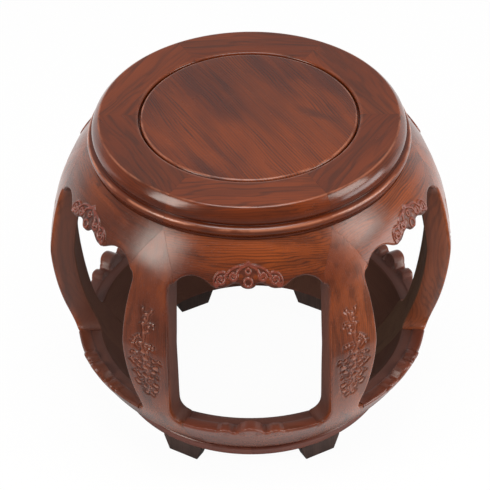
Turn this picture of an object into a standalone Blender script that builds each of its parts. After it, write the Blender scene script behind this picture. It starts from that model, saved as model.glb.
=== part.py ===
"""Drum-shaped hardwood stool, built up from jointed pieces.

A round framed seat with a floating panel lies on a barrel of curved legs. Aprons close the barrel above
and below the windows between the legs, a base ring ties the legs together, and a block foot sits under each
leg. Metres, +Z up, centred on the Z axis with the feet on z = 0. One window faces -Y. Angles are measured
about the Z axis from -Y towards +X.
"""

import math

import bmesh
import bpy
from mathutils import Matrix

# Counts
LEG_COUNT = 6
BATTEN_COUNT = 2

# Clearance between touching pieces, and how far a cut runs past the face that it opens
FIT_GAP = 0.0003
CUT_OVERRUN = 0.001

# Heights of the stack, from the floor up
SEAT_HEIGHT = 0.400
FRAME_THICKNESS = 0.037
RING_THICKNESS = 0.0112
FOOT_HEIGHT = 0.022

# Barrel: outer radii, level of the belly above the floor, and wall
BELLY_RADIUS = 0.2395
BELLY_LEVEL = 0.222
SHOULDER_RADIUS = 0.184
HIP_RADIUS = 0.166
WALL_THICKNESS = 0.029
SHOULDER_FULLNESS = 1.45
SHOULDER_TUCK = 1.3
HIP_FULLNESS = 1.75
HIP_TUCK = 1.1

# Leg widths, measured along the belly's circle: at the belly, at a window's sill and head, at the tip
LEG_WIDTH = 0.0602
LEG_SILL_WIDTH = 0.0711
LEG_HEAD_WIDTH = 0.0630
LEG_TIP_WIDTH = 0.003
LEG_TIP_HEIGHT = 0.003
LEG_NARROWING = 0.0132
SHOULDER_CURVE = 1.6

# Windows: apron heights at the corners, and the heights of the rounded corners
UPPER_APRON_HEIGHT = 0.0487
LOWER_APRON_HEIGHT = 0.0660
UPPER_CORNER_HEIGHT = 0.014
LOWER_CORNER_HEIGHT = 0.029
SILL_FALL = 0.0012

# Lower edge of an upper apron, from the middle to the corner: a hanging cloud crest, then a small arch.
# Each pair is a share of the half width and a share of the apron's height at the corner.
UPPER_EDGE_SHARES = (
    (0.0, 0.900), (0.075, 0.877), (0.13, 0.805), (0.20, 0.789), (0.29, 0.836), (0.36, 0.905),
    (0.43, 0.910), (0.50, 0.887), (0.57, 0.820), (0.65, 0.745), (0.74, 0.723), (0.85, 0.755),
    (0.94, 0.845), (0.985, 0.925), (1.0, 1.0),
)

# Upper edge of a lower apron, as the same kind of pairs: a small knob with a curl on each side
LOWER_EDGE_SHARES = (
    (0.0, 1.155), (0.06, 1.145), (0.13, 1.095), (0.18, 1.02), (0.23, 0.985), (0.31, 1.035),
    (0.39, 1.055), (0.46, 1.04), (0.53, 0.995), (0.68, 0.985), (0.85, 0.985), (1.0, 1.0),
)

# Seat frame, from the barrel inwards: how far each line of its edge lies inside the line below it,
# the swell of both mouldings, and the width of the flat land round the panel
FRAME_FOOT_SETBACK = 0.0005
BEAD_RISE_IN = 0.002
HOLLOW_STEP = 0.0025
TORUS_RISE_IN = 0.0058
TORUS_SWELL = 0.0047
BEAD_SWELL = 0.0042
LAND_WIDTH = 0.0462
EDGE_CHAMFER = 0.001
TORUS_DEPTH_SHARE = 0.55
BEAD_TOP_SHARE = 0.57
BEAD_BOTTOM_SHARE = 0.93

# Floating panel, its tongue, and the battens under it
PANEL_THICKNESS = 0.016
PANEL_REVEAL = 0.0017
TONGUE_REACH = 0.006
TONGUE_THICKNESS = 0.008
PANEL_TURN = math.radians(30)
BATTEN_WIDTH = 0.026
BATTEN_SPREAD = 0.036
BATTEN_HOUSING = 0.008
BATTEN_LIP = 0.0034

# Joinery: leg tenons above and below, apron tenons, and the loose keys in the frame and in the ring
TENON_THICKNESS = 0.010
LEG_TENON_WIDTH = 0.018
LEG_TENON_HEIGHT = 0.010
LEG_TENON_ROOT = 0.010
FOOT_TENON_WIDTH = 0.020
FOOT_TENON_DEPTH = 0.009
FOOT_TENON_THICKNESS = 0.008
FOOT_TENON_ROOT = 0.010
APRON_TENON_WIDTH = 0.030
APRON_TENON_HEIGHT = 0.008
APRON_TENON_ROOT = 0.010
END_TENON_THICKNESS = 0.008
END_TENON_HEIGHT = 0.020
END_TENON_LENGTH = 0.010
FRAME_KEY_LENGTH = 0.028
FRAME_KEY_THICKNESS = 0.006
FRAME_KEY_COVER = 0.010
FRAME_KEY_INNER_COVER = 0.0046
FRAME_KEY_OUTER_COVER = 0.0106
RING_KEY_LENGTH = 0.024
RING_KEY_THICKNESS = 0.004
RING_KEY_COVER = 0.0053

# Base ring, which stands out past the barrel and stops short of its inner side, and feet
RING_LEDGE = 0.0027
RING_INNER_SETBACK = 0.0110
RING_TOP_ROUND = 0.003
RING_BOTTOM_CHAMFER = 0.0015
FOOT_TOP_WIDTH = 0.054
FOOT_BOTTOM_WIDTH = 0.039
FOOT_TOP_DEPTH = 0.0175
FOOT_BOTTOM_DEPTH = 0.0155
FOOT_SETBACK = 0.0025
FOOT_LEAN = 0.0005

# Levels and radii that follow from the sizes above
FRAME_BOTTOM = SEAT_HEIGHT - FRAME_THICKNESS
BARREL_TOP = FRAME_BOTTOM - FIT_GAP
RING_BOTTOM = FOOT_HEIGHT + FIT_GAP
RING_TOP = RING_BOTTOM + RING_THICKNESS
BARREL_BOTTOM = RING_TOP + FIT_GAP
HEAD_LEVEL = BARREL_TOP - UPPER_APRON_HEIGHT
SILL_LEVEL = BARREL_BOTTOM + LOWER_APRON_HEIGHT
TIP_LEVEL = BARREL_TOP - LEG_TIP_HEIGHT
FRAME_FOOT_RADIUS = SHOULDER_RADIUS - FRAME_FOOT_SETBACK
BEAD_TOP_RADIUS = FRAME_FOOT_RADIUS - BEAD_RISE_IN
HOLLOW_RADIUS = BEAD_TOP_RADIUS - HOLLOW_STEP
FLAT_RADIUS = HOLLOW_RADIUS - TORUS_RISE_IN
FRAME_INNER_RADIUS = FLAT_RADIUS - LAND_WIDTH
PANEL_BOTTOM = SEAT_HEIGHT - PANEL_THICKNESS
PANEL_RADIUS = FRAME_INNER_RADIUS - PANEL_REVEAL
TONGUE_RADIUS = FRAME_INNER_RADIUS + TONGUE_REACH
BATTEN_TOP = PANEL_BOTTOM - FIT_GAP
BATTEN_BOTTOM = FRAME_BOTTOM + BATTEN_LIP
RING_RADIUS = HIP_RADIUS + RING_LEDGE
RING_INNER_RADIUS = HIP_RADIUS - WALL_THICKNESS + RING_INNER_SETBACK

# Directions of the windows and of the legs
SECTOR = 2 * math.pi / LEG_COUNT
LEG_ANGLE = SECTOR / 2
JOINT_GAP_ANGLE = 1.5 * FIT_GAP / SHOULDER_RADIUS

# Facets
FRAME_STEPS = 8
RING_STEPS = 8
PANEL_STEPS = 48
MOULDING_STEPS = 6
LEG_COLUMNS = 3
APRON_ROWS = 3
SILL_STEPS = 4
CORNER_STEPS = 4
SIDE_STEPS = 7
SHOULDER_STEPS = 5
SMOOTH_ANGLE = math.radians(35)

# Finish of each kind of piece: colour and roughness of polished or bare hardwood
WOODS = {
    "panel_wood": ((0.155, 0.052, 0.034, 1.0), 0.30),
    "frame_wood": ((0.140, 0.044, 0.028, 1.0), 0.28),
    "leg_wood": ((0.175, 0.058, 0.026, 1.0), 0.28),
    "apron_wood": ((0.190, 0.060, 0.024, 1.0), 0.28),
    "ring_wood": ((0.135, 0.045, 0.030, 1.0), 0.32),
    "foot_wood": ((0.060, 0.042, 0.038, 1.0), 0.55),
    "inner_wood": ((0.200, 0.110, 0.070, 1.0), 0.60),
}


def clear_scene():
    for obj in list(bpy.data.objects):
        bpy.data.objects.remove(obj, do_unlink=True)


def wood(name):
    colour, roughness = WOODS[name]
    material = bpy.data.materials.get(name) or bpy.data.materials.new(name)
    material.use_nodes = True
    shader = material.node_tree.nodes["Principled BSDF"]
    shader.inputs["Base Color"].default_value = colour
    shader.inputs["Roughness"].default_value = roughness
    shader.inputs["Metallic"].default_value = 0.0
    material.diffuse_color = colour
    return material


def spot(angle, radius, height):
    """The point at this angle from -Y, distance from the axis, and height."""
    return (radius * math.sin(angle), -radius * math.cos(angle), height)


def barrel_radius(height):
    """Outer radius of the barrel: fullest at the belly, drawing in to the shoulder and to the hip."""
    if height > BELLY_LEVEL:
        share = (height - BELLY_LEVEL) / (BARREL_TOP - BELLY_LEVEL)
        inward = share ** (SHOULDER_FULLNESS + SHOULDER_TUCK * share)
        return BELLY_RADIUS - (BELLY_RADIUS - SHOULDER_RADIUS) * inward
    share = (BELLY_LEVEL - height) / (BELLY_LEVEL - BARREL_BOTTOM)
    inward = share ** (HIP_FULLNESS + HIP_TUCK * share)
    return BELLY_RADIUS - (BELLY_RADIUS - HIP_RADIUS) * inward


def wall_middle(low, high):
    """Middle of the wall's thickness over this stretch of height, for a tenon that stands upright in it."""
    inner = max(barrel_radius(low), barrel_radius(high)) - WALL_THICKNESS
    outer = min(barrel_radius(low), barrel_radius(high))
    return (inner + outer) / 2


def half_angle(width):
    """Half the angle that a width along the belly's circle takes up."""
    return width / 2 / BELLY_RADIUS


def quarter_round(share):
    """Rises from 0 to 1 like the side of a quarter circle, steep at first."""
    return math.sqrt(1 - (1 - share) ** 2)


def leg_side(height):
    """Half angle of a leg beside the open part of a window, without the rounded corners."""
    reach = BELLY_LEVEL - SILL_LEVEL
    return half_angle(LEG_WIDTH) - LEG_NARROWING / BELLY_RADIUS * ((height - BELLY_LEVEL) / reach) ** 2


def leg_half_angle(height):
    """Half angle of a leg at any height: straight, then waisted beside the window, then a pointed head."""
    if height <= SILL_LEVEL:
        return half_angle(LEG_SILL_WIDTH)
    if height >= TIP_LEVEL:
        return half_angle(LEG_TIP_WIDTH)
    if height >= HEAD_LEVEL:
        share = (height - HEAD_LEVEL) / (TIP_LEVEL - HEAD_LEVEL)
        tip = half_angle(LEG_TIP_WIDTH)
        return tip + (half_angle(LEG_HEAD_WIDTH) - tip) * (1 - share**SHOULDER_CURVE)
    side = leg_side(height)
    above_sill = (height - SILL_LEVEL) / LOWER_CORNER_HEIGHT
    below_head = (HEAD_LEVEL - height) / UPPER_CORNER_HEIGHT
    if above_sill < 1:
        corner = half_angle(LEG_SILL_WIDTH)
        return corner + (side - corner) * quarter_round(above_sill)
    if below_head < 1:
        corner = half_angle(LEG_HEAD_WIDTH)
        return corner + (side - corner) * quarter_round(below_head)
    return side


def levels(low, high, steps, power=1.0):
    """Heights from low to high, without the last one. A power over 1 crowds them towards low."""
    return [low + (high - low) * (step / steps) ** power for step in range(steps)]


def shoulder_levels():
    """Heights of the points that a leg's pointed head shares with the aprons beside it."""
    return levels(HEAD_LEVEL, TIP_LEVEL, SHOULDER_STEPS) + [TIP_LEVEL]


def plate(name, columns, inner_top=SEAT_HEIGHT):
    """A closed piece of the barrel's wall. Each column is (angle, heights from bottom to top).

    The inner side reaches no higher than inner_top, so that an edge above it slopes down inwards.
    """
    mesh = bmesh.new()
    skins = []
    for inset, top in ((0.0, SEAT_HEIGHT), (WALL_THICKNESS, inner_top)):
        skins.append([])
        for angle, heights in columns:
            levels_here = [min(height, top) for height in heights]
            skins[-1].append([
                mesh.verts.new(spot(angle, barrel_radius(height) - inset, height)) for height in levels_here
            ])
    last_column = len(columns) - 1
    last_row = len(columns[0][1]) - 1
    for skin in skins:
        for i in range(last_column):
            for j in range(last_row):
                mesh.faces.new((skin[i][j], skin[i + 1][j], skin[i + 1][j + 1], skin[i][j + 1]))
    outer, inner = skins
    for i in range(last_column):
        for j in (0, last_row):
            mesh.faces.new((outer[i][j], outer[i + 1][j], inner[i + 1][j], inner[i][j]))
    for j in range(last_row):
        for i in (0, last_column):
            mesh.faces.new((outer[i][j], outer[i][j + 1], inner[i][j + 1], inner[i][j]))
    return finished(name, mesh)


def turned(name, profile, start, end, steps):
    """A piece of a turned ring: the closed profile of (radius, height) swept from one angle to another."""
    mesh = bmesh.new()
    corners = [mesh.verts.new(spot(start, radius, height)) for radius, height in profile]
    face = mesh.faces.new(corners)
    bmesh.ops.spin(
        mesh, geom=[face, *face.edges, *face.verts], cent=(0, 0, 0), axis=(0, 0, 1),
        angle=end - start, steps=steps, use_duplicate=False,
    )
    return finished(name, mesh)


def turned_disc(name, profile, steps):
    """A solid disc: the open profile of (radius, height), from the axis to the axis, turned right round."""
    mesh = bmesh.new()
    points = [mesh.verts.new(spot(0, radius, height)) for radius, height in profile]
    edges = [mesh.edges.new(pair) for pair in zip(points, points[1:])]
    bmesh.ops.spin(
        mesh, geom=[*points, *edges], cent=(0, 0, 0), axis=(0, 0, 1), angle=2 * math.pi, steps=steps,
        use_merge=True,
    )
    bmesh.ops.remove_doubles(mesh, verts=mesh.verts, dist=FIT_GAP / 10)
    bmesh.ops.dissolve_degenerate(mesh, edges=mesh.edges, dist=FIT_GAP / 10)
    return finished(name, mesh)


def block(name, size, angle, radius, low, taper=None):
    """An upright block at an angle and radius, from low up: size is (width, depth, height)."""
    mesh = bmesh.new()
    bmesh.ops.create_cube(mesh, size=1.0)
    width, depth, height = size
    for corner in mesh.verts:
        shrink = taper if taper and corner.co.z < 0 else (1.0, 1.0, 0.0)
        corner.co.x *= width * shrink[0]
        corner.co.y = corner.co.y * depth * shrink[1] - radius - shrink[2]
        corner.co.z = (corner.co.z + 0.5) * height + low
    bmesh.ops.rotate(mesh, verts=mesh.verts, cent=(0, 0, 0), matrix=Matrix.Rotation(angle, 3, "Z"))
    return finished(name, mesh)


def finished(name, mesh):
    """Turns the built mesh into an object, with its faces pointing out and its round sides smooth."""
    bmesh.ops.recalc_face_normals(mesh, faces=mesh.faces)
    data = bpy.data.meshes.new(name)
    mesh.to_mesh(data)
    mesh.free()
    obj = bpy.data.objects.new(name, data)
    bpy.context.scene.collection.objects.link(obj)
    return obj


def joined(obj, tools, operation):
    """Adds the tool blocks to the object or cuts them out of it, and removes them."""
    for tool in tools:
        modifier = obj.modifiers.new(tool.name, "BOOLEAN")
        modifier.operation = operation
        modifier.object = tool
    bpy.context.view_layer.update()
    evaluated = obj.evaluated_get(bpy.context.evaluated_depsgraph_get())
    solid = bpy.data.meshes.new_from_object(evaluated)
    obj.modifiers.clear()
    obj.data = solid
    for tool in tools:
        bpy.data.objects.remove(tool, do_unlink=True)


def place(pattern, names, turns, material, parent):
    """Copies of the pattern, each turned about the Z axis. The pattern itself is removed."""
    pattern.data.shade_smooth()
    pattern.data.set_sharp_from_angle(angle=SMOOTH_ANGLE)
    pattern.data.materials.clear()
    pattern.data.materials.append(wood(material))
    for name, turn in zip(names, turns):
        piece = bpy.data.objects.new(name, pattern.data)
        piece.rotation_euler[2] = turn
        piece.parent = parent
        bpy.context.scene.collection.objects.link(piece)
    bpy.data.objects.remove(pattern, do_unlink=True)


def numbered(stem, count=LEG_COUNT):
    return [f"{stem}_{number + 1}" for number in range(count)]


def window_turns():
    return [SECTOR * number for number in range(LEG_COUNT)]


def leg_turns():
    return [LEG_ANGLE + turn for turn in window_turns()]


def leg_tenon(gap, angle=0.0):
    """Upper tenon of a leg. It stands in the barrel's wall and enters the seat frame."""
    low = BARREL_TOP - LEG_TENON_ROOT
    height = LEG_TENON_ROOT + LEG_TENON_HEIGHT
    size = (LEG_TENON_WIDTH + 2 * gap, TENON_THICKNESS + 2 * gap, height + 2 * gap)
    return block("leg_tenon", size, angle, wall_middle(low, BARREL_TOP), low - gap)


def foot_tenon(gap, angle=0.0):
    """Lower tenon of a leg. It passes through the base ring and enters the foot."""
    high = BARREL_BOTTOM + FOOT_TENON_ROOT
    low = FOOT_HEIGHT - FOOT_TENON_DEPTH
    size = (FOOT_TENON_WIDTH + 2 * gap, FOOT_TENON_THICKNESS + 2 * gap, high - low + 2 * gap)
    return block("foot_tenon", size, angle, RING_RADIUS - FOOT_SETBACK - FOOT_TOP_DEPTH / 2, low - gap)


def apron_tenon(gap):
    """Tenon on the middle of an upper apron's top edge. It enters the seat frame."""
    low = BARREL_TOP - APRON_TENON_ROOT
    height = APRON_TENON_ROOT + APRON_TENON_HEIGHT
    size = (APRON_TENON_WIDTH + 2 * gap, TENON_THICKNESS + 2 * gap, height + 2 * gap)
    return block("apron_tenon", size, 0.0, wall_middle(low, BARREL_TOP), low - gap)


def end_tenon(gap, angle):
    """Tenon on the end of a lower apron. Half of it lies in the apron, and half in the leg."""
    low = (BARREL_BOTTOM + SILL_LEVEL - END_TENON_HEIGHT) / 2
    high = low + END_TENON_HEIGHT
    size = (2 * END_TENON_LENGTH + 2 * gap, END_TENON_THICKNESS + 2 * gap, END_TENON_HEIGHT + 2 * gap)
    return block("end_tenon", size, angle, wall_middle(low, high), low - gap)


def frame_key(gap, angle=0.0):
    """Loose key that joins two segments of the seat frame, outside the panel's tongue."""
    inner = TONGUE_RADIUS + FRAME_KEY_INNER_COVER
    outer = FLAT_RADIUS - FRAME_KEY_OUTER_COVER
    low = SEAT_HEIGHT - FRAME_KEY_COVER - FRAME_KEY_THICKNESS
    size = (FRAME_KEY_LENGTH + 2 * gap, outer - inner + 2 * gap, FRAME_KEY_THICKNESS + 2 * gap)
    return block("frame_key", size, angle, (inner + outer) / 2, low - gap)


def ring_key(gap, angle=0.0):
    """Loose key that joins two segments of the base ring."""
    width = RING_RADIUS - RING_INNER_RADIUS - 2 * RING_KEY_COVER
    low = (RING_BOTTOM + RING_TOP - RING_KEY_THICKNESS) / 2
    size = (RING_KEY_LENGTH + 2 * gap, width + 2 * gap, RING_KEY_THICKNESS + 2 * gap)
    return block("ring_key", size, angle, (RING_RADIUS + RING_INNER_RADIUS) / 2, low - gap)


def batten(name, offset, gap, rise=0.0):
    """Batten under the panel, along +X at this offset from the axis, with its ends in the frame."""
    reach = math.sqrt((FRAME_INNER_RADIUS + BATTEN_HOUSING) ** 2 - offset**2)
    size = (2 * reach + 2 * gap, BATTEN_WIDTH + 2 * gap, BATTEN_TOP - BATTEN_BOTTOM + gap + rise)
    return block(name, size, 0.0, offset, BATTEN_BOTTOM - gap)


def batten_offsets():
    return (-BATTEN_SPREAD, BATTEN_SPREAD)


def make_legs(parent):
    heights = levels(BARREL_BOTTOM, SILL_LEVEL, SILL_STEPS)
    heights += levels(SILL_LEVEL, SILL_LEVEL + LOWER_CORNER_HEIGHT, CORNER_STEPS, power=2)
    heights += levels(SILL_LEVEL + LOWER_CORNER_HEIGHT, HEAD_LEVEL - UPPER_CORNER_HEIGHT, SIDE_STEPS)
    for step in range(CORNER_STEPS):
        heights.append(HEAD_LEVEL - UPPER_CORNER_HEIGHT * (1 - step / CORNER_STEPS) ** 2)
    heights += shoulder_levels() + [BARREL_TOP]
    # A leg is a stack of rows, so the plate's columns are bent: each row spreads to the leg's width there.
    mesh = bmesh.new()
    rows = []
    for height in heights:
        half = leg_half_angle(height)
        radius = barrel_radius(height)
        angles = [half * (2 * step / LEG_COLUMNS - 1) for step in range(LEG_COLUMNS + 1)]
        outer = [mesh.verts.new(spot(angle, radius, height)) for angle in angles]
        inner = [mesh.verts.new(spot(angle, radius - WALL_THICKNESS, height)) for angle in angles]
        rows.append(outer + inner[::-1])
    around = len(rows[0])
    for low, high in zip(rows, rows[1:]):
        for i in range(around):
            after = (i + 1) % around
            mesh.faces.new((low[i], low[after], high[after], high[i]))
    for row in (rows[0], rows[-1]):
        for i in range(LEG_COLUMNS):
            mesh.faces.new((row[i], row[i + 1], row[around - 2 - i], row[around - 1 - i]))
    leg = finished("leg", mesh)
    joined(leg, [leg_tenon(0.0), foot_tenon(0.0)], "UNION")
    apron_end = LEG_ANGLE - half_angle(LEG_SILL_WIDTH)
    mortises = [end_tenon(FIT_GAP, side * (SECTOR - LEG_ANGLE - apron_end)) for side in (-1, 1)]
    joined(leg, mortises, "DIFFERENCE")
    place(leg, numbered("leg"), leg_turns(), "leg_wood", parent)


def make_upper_aprons(parent):
    corner = LEG_ANGLE - half_angle(LEG_HEAD_WIDTH) - JOINT_GAP_ANGLE
    edge = [(corner * share, BARREL_TOP - UPPER_APRON_HEIGHT * drop) for share, drop in UPPER_EDGE_SHARES]
    for height in shoulder_levels()[1:]:
        edge.append((LEG_ANGLE - leg_half_angle(height) - JOINT_GAP_ANGLE, height))
    edge = [(-angle, height) for angle, height in edge[:0:-1]] + edge
    # Only the lowest row follows the edge across the window, so that the wall above it stays even.
    columns = []
    for angle, height in edge:
        rows = levels(max(height, HEAD_LEVEL), BARREL_TOP, APRON_ROWS)
        columns.append((angle, [height, *rows[1:], BARREL_TOP]))
    apron = plate("upper_apron", columns)
    joined(apron, [apron_tenon(0.0)], "UNION")
    joined(apron, [leg_tenon(FIT_GAP, side * LEG_ANGLE) for side in (-1, 1)], "DIFFERENCE")
    place(apron, numbered("upper_apron"), window_turns(), "apron_wood", parent)


def make_lower_aprons(parent):
    end = LEG_ANGLE - half_angle(LEG_SILL_WIDTH) - JOINT_GAP_ANGLE
    edge = [(end * share, BARREL_BOTTOM + LOWER_APRON_HEIGHT * rise) for share, rise in LOWER_EDGE_SHARES]
    edge = [(-angle, height) for angle, height in edge[:0:-1]] + edge
    columns = [(angle, levels(BARREL_BOTTOM, SILL_LEVEL, APRON_ROWS) + [height]) for angle, height in edge]
    apron = plate("lower_apron", columns, SILL_LEVEL - SILL_FALL)
    tenon_angle = end + JOINT_GAP_ANGLE
    joined(apron, [end_tenon(0.0, side * tenon_angle) for side in (-1, 1)], "UNION")
    place(apron, numbered("lower_apron"), window_turns(), "apron_wood", parent)


def frame_profile():
    """Section of the seat frame: flat top, swelling edge, hollow, bead, underside, panel groove."""
    points = [
        (FRAME_INNER_RADIUS, SEAT_HEIGHT - EDGE_CHAMFER),
        (FRAME_INNER_RADIUS + EDGE_CHAMFER, SEAT_HEIGHT),
    ]
    for step in range(MOULDING_STEPS + 1):
        share = step / MOULDING_STEPS
        radius = FLAT_RADIUS + (HOLLOW_RADIUS - FLAT_RADIUS) * share
        radius += TORUS_SWELL * math.sin(math.pi * share)
        points.append((radius, SEAT_HEIGHT - FRAME_THICKNESS * TORUS_DEPTH_SHARE * share))
    for step in range(MOULDING_STEPS + 1):
        share = step / MOULDING_STEPS
        radius = BEAD_TOP_RADIUS + (FRAME_FOOT_RADIUS - BEAD_TOP_RADIUS) * share
        radius += BEAD_SWELL * math.sin(math.pi * share)
        depth = BEAD_TOP_SHARE + (BEAD_BOTTOM_SHARE - BEAD_TOP_SHARE) * share
        points.append((radius, SEAT_HEIGHT - FRAME_THICKNESS * depth))
    groove_radius = TONGUE_RADIUS + FIT_GAP
    groove_top = PANEL_BOTTOM + TONGUE_THICKNESS + FIT_GAP
    points += [
        (FRAME_FOOT_RADIUS, FRAME_BOTTOM),
        (FRAME_INNER_RADIUS, FRAME_BOTTOM),
        (FRAME_INNER_RADIUS, BATTEN_TOP),
        (groove_radius, BATTEN_TOP),
        (groove_radius, groove_top),
        (FRAME_INNER_RADIUS, groove_top),
    ]
    return points


def frame_segment(name, extra_cuts):
    """One segment of the seat frame, centred over a window, with its mortises cut."""
    reach = LEG_ANGLE - FIT_GAP / FRAME_INNER_RADIUS / 2
    segment = turned(name, frame_profile(), -reach, reach, FRAME_STEPS)
    cuts = [apron_tenon(FIT_GAP)]
    for side in (-1, 1):
        cuts += [leg_tenon(FIT_GAP, side * LEG_ANGLE), frame_key(FIT_GAP, side * LEG_ANGLE)]
    joined(segment, cuts + extra_cuts, "DIFFERENCE")
    return segment


def make_seat_frame(parent):
    # The battens run across the panel's grain and end in one segment and in the segment opposite.
    direction = PANEL_TURN + math.pi / 2
    housed = []
    for number in range(LEG_COUNT):
        if abs(math.sin(SECTOR * number - direction)) < math.sin(SECTOR / 2):
            housed.append(number)
    names, turns = numbered("seat_frame"), window_turns()
    for number in housed:
        cuts = [batten("housing", offset, FIT_GAP, CUT_OVERRUN) for offset in batten_offsets()]
        for cut in cuts:
            cut.rotation_euler[2] = PANEL_TURN - turns[number]
        segment = frame_segment("seat_frame", cuts)
        place(segment, [names[number]], [turns[number]], "frame_wood", parent)
    plain = [number for number in range(LEG_COUNT) if number not in housed]
    segment = frame_segment("seat_frame", [])
    place(segment, [names[i] for i in plain], [turns[i] for i in plain], "frame_wood", parent)
    place(frame_key(0.0), numbered("frame_key"), leg_turns(), "inner_wood", parent)


def make_panel(parent):
    tongue_top = PANEL_BOTTOM + TONGUE_THICKNESS
    profile = [
        (0.0, SEAT_HEIGHT),
        (PANEL_RADIUS - EDGE_CHAMFER, SEAT_HEIGHT),
        (PANEL_RADIUS, SEAT_HEIGHT - EDGE_CHAMFER),
        (PANEL_RADIUS, tongue_top),
        (TONGUE_RADIUS, tongue_top),
        (TONGUE_RADIUS, PANEL_BOTTOM),
        (0.0, PANEL_BOTTOM),
    ]
    panel = turned_disc("panel", profile, PANEL_STEPS)
    place(panel, ["seat_panel"], [PANEL_TURN], "panel_wood", parent)
    for name, offset in zip(numbered("seat_batten", BATTEN_COUNT), batten_offsets()):
        place(batten("batten", offset, 0.0), [name], [PANEL_TURN], "inner_wood", parent)


def make_base_ring(parent):
    profile = [
        (RING_INNER_RADIUS, RING_BOTTOM),
        (RING_INNER_RADIUS, RING_TOP),
        (RING_RADIUS - RING_TOP_ROUND, RING_TOP),
        (RING_RADIUS - RING_TOP_ROUND / 4, RING_TOP - RING_TOP_ROUND / 2),
        (RING_RADIUS, RING_TOP - RING_TOP_ROUND * 1.5),
        (RING_RADIUS, RING_BOTTOM + RING_BOTTOM_CHAMFER),
        (RING_RADIUS - RING_BOTTOM_CHAMFER, RING_BOTTOM),
    ]
    reach = LEG_ANGLE - FIT_GAP / RING_INNER_RADIUS / 2
    segment = turned("base_ring", profile, -reach, reach, RING_STEPS)
    cuts = [foot_tenon(FIT_GAP)] + [ring_key(FIT_GAP, side * LEG_ANGLE) for side in (-1, 1)]
    joined(segment, cuts, "DIFFERENCE")
    place(segment, numbered("base_ring"), leg_turns(), "ring_wood", parent)
    place(ring_key(0.0), numbered("ring_key"), window_turns(), "inner_wood", parent)


def make_feet(parent):
    outer_face = RING_RADIUS - FOOT_SETBACK
    bottom_middle = outer_face - FOOT_LEAN - FOOT_BOTTOM_DEPTH / 2
    top_middle = outer_face - FOOT_TOP_DEPTH / 2
    taper = (
        FOOT_BOTTOM_WIDTH / FOOT_TOP_WIDTH, FOOT_BOTTOM_DEPTH / FOOT_TOP_DEPTH, bottom_middle - top_middle,
    )
    size = (FOOT_TOP_WIDTH, FOOT_TOP_DEPTH, FOOT_HEIGHT)
    foot = block("foot", size, 0.0, top_middle, 0.0, taper)
    joined(foot, [foot_tenon(FIT_GAP)], "DIFFERENCE")
    place(foot, numbered("foot"), leg_turns(), "foot_wood", parent)


def main():
    clear_scene()
    stool = bpy.data.objects.new("stool", None)
    bpy.context.scene.collection.objects.link(stool)
    make_panel(stool)
    make_seat_frame(stool)
    make_legs(stool)
    make_upper_aprons(stool)
    make_lower_aprons(stool)
    make_base_ring(stool)
    make_feet(stool)


main()
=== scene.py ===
"""Looks of the drum-shaped hardwood stool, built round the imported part.

Every visible piece is rebuilt here with finer faces, rounded arrises and its carving, in the place of the
part's own solid. Angles are measured about the Z axis from -Y towards +X.
"""

import math
import random

import bmesh
import bpy
import numpy as np
from mathutils import Matrix, Vector


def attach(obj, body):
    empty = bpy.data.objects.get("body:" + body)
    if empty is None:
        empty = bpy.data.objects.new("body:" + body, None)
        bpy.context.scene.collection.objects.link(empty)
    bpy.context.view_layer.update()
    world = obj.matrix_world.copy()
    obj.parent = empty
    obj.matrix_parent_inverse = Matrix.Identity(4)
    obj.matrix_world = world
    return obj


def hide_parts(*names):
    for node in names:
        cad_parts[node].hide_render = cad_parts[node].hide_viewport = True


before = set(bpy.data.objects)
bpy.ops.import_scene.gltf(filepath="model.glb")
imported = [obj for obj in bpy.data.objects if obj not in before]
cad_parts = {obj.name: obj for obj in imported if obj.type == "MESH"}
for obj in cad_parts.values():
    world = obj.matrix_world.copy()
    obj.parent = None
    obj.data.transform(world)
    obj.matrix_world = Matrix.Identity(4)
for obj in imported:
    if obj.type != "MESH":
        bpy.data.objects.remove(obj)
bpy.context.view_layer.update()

# Sizes of the part, in metres
LEG_COUNT = 6
FIT_GAP = 0.0003
SEAT_HEIGHT = 0.400
FRAME_THICKNESS = 0.037
RING_THICKNESS = 0.0112
FOOT_HEIGHT = 0.022
BELLY_RADIUS = 0.2389
BELLY_LEVEL = 0.222
SHOULDER_RADIUS = 0.184
HIP_RADIUS = 0.166
WALL_THICKNESS = 0.029
SHOULDER_FULLNESS = 1.45
SHOULDER_TUCK = 1.3
HIP_FULLNESS = 1.75
HIP_TUCK = 1.1
LEG_WIDTH = 0.0602
LEG_SILL_WIDTH = 0.0711
LEG_HEAD_WIDTH = 0.0630
LEG_TIP_WIDTH = 0.003
LEG_TIP_HEIGHT = 0.003
LEG_NARROWING = 0.0132
SHOULDER_CURVE = 1.6
UPPER_APRON_HEIGHT = 0.0487
LOWER_APRON_HEIGHT = 0.0660
UPPER_CORNER_HEIGHT = 0.014
LOWER_CORNER_HEIGHT = 0.029
SILL_FALL = 0.0012
FRAME_INNER_RADIUS = 0.127
PANEL_REVEAL = 0.0017
PANEL_TURN = math.radians(30)
RING_RADIUS = 0.1687
RING_INNER_RADIUS = 0.1480
FOOT_TOP_WIDTH = 0.054
FOOT_BOTTOM_WIDTH = 0.039
FOOT_TOP_DEPTH = 0.0175
FOOT_BOTTOM_DEPTH = 0.0155
FOOT_SETBACK = 0.0025
FOOT_LEAN = 0.0005

FRAME_BOTTOM = SEAT_HEIGHT - FRAME_THICKNESS
BARREL_TOP = FRAME_BOTTOM - FIT_GAP
RING_BOTTOM = FOOT_HEIGHT + FIT_GAP
RING_TOP = RING_BOTTOM + RING_THICKNESS
BARREL_BOTTOM = RING_TOP + FIT_GAP
HEAD_LEVEL = BARREL_TOP - UPPER_APRON_HEIGHT
SILL_LEVEL = BARREL_BOTTOM + LOWER_APRON_HEIGHT
TIP_LEVEL = BARREL_TOP - LEG_TIP_HEIGHT

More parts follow.
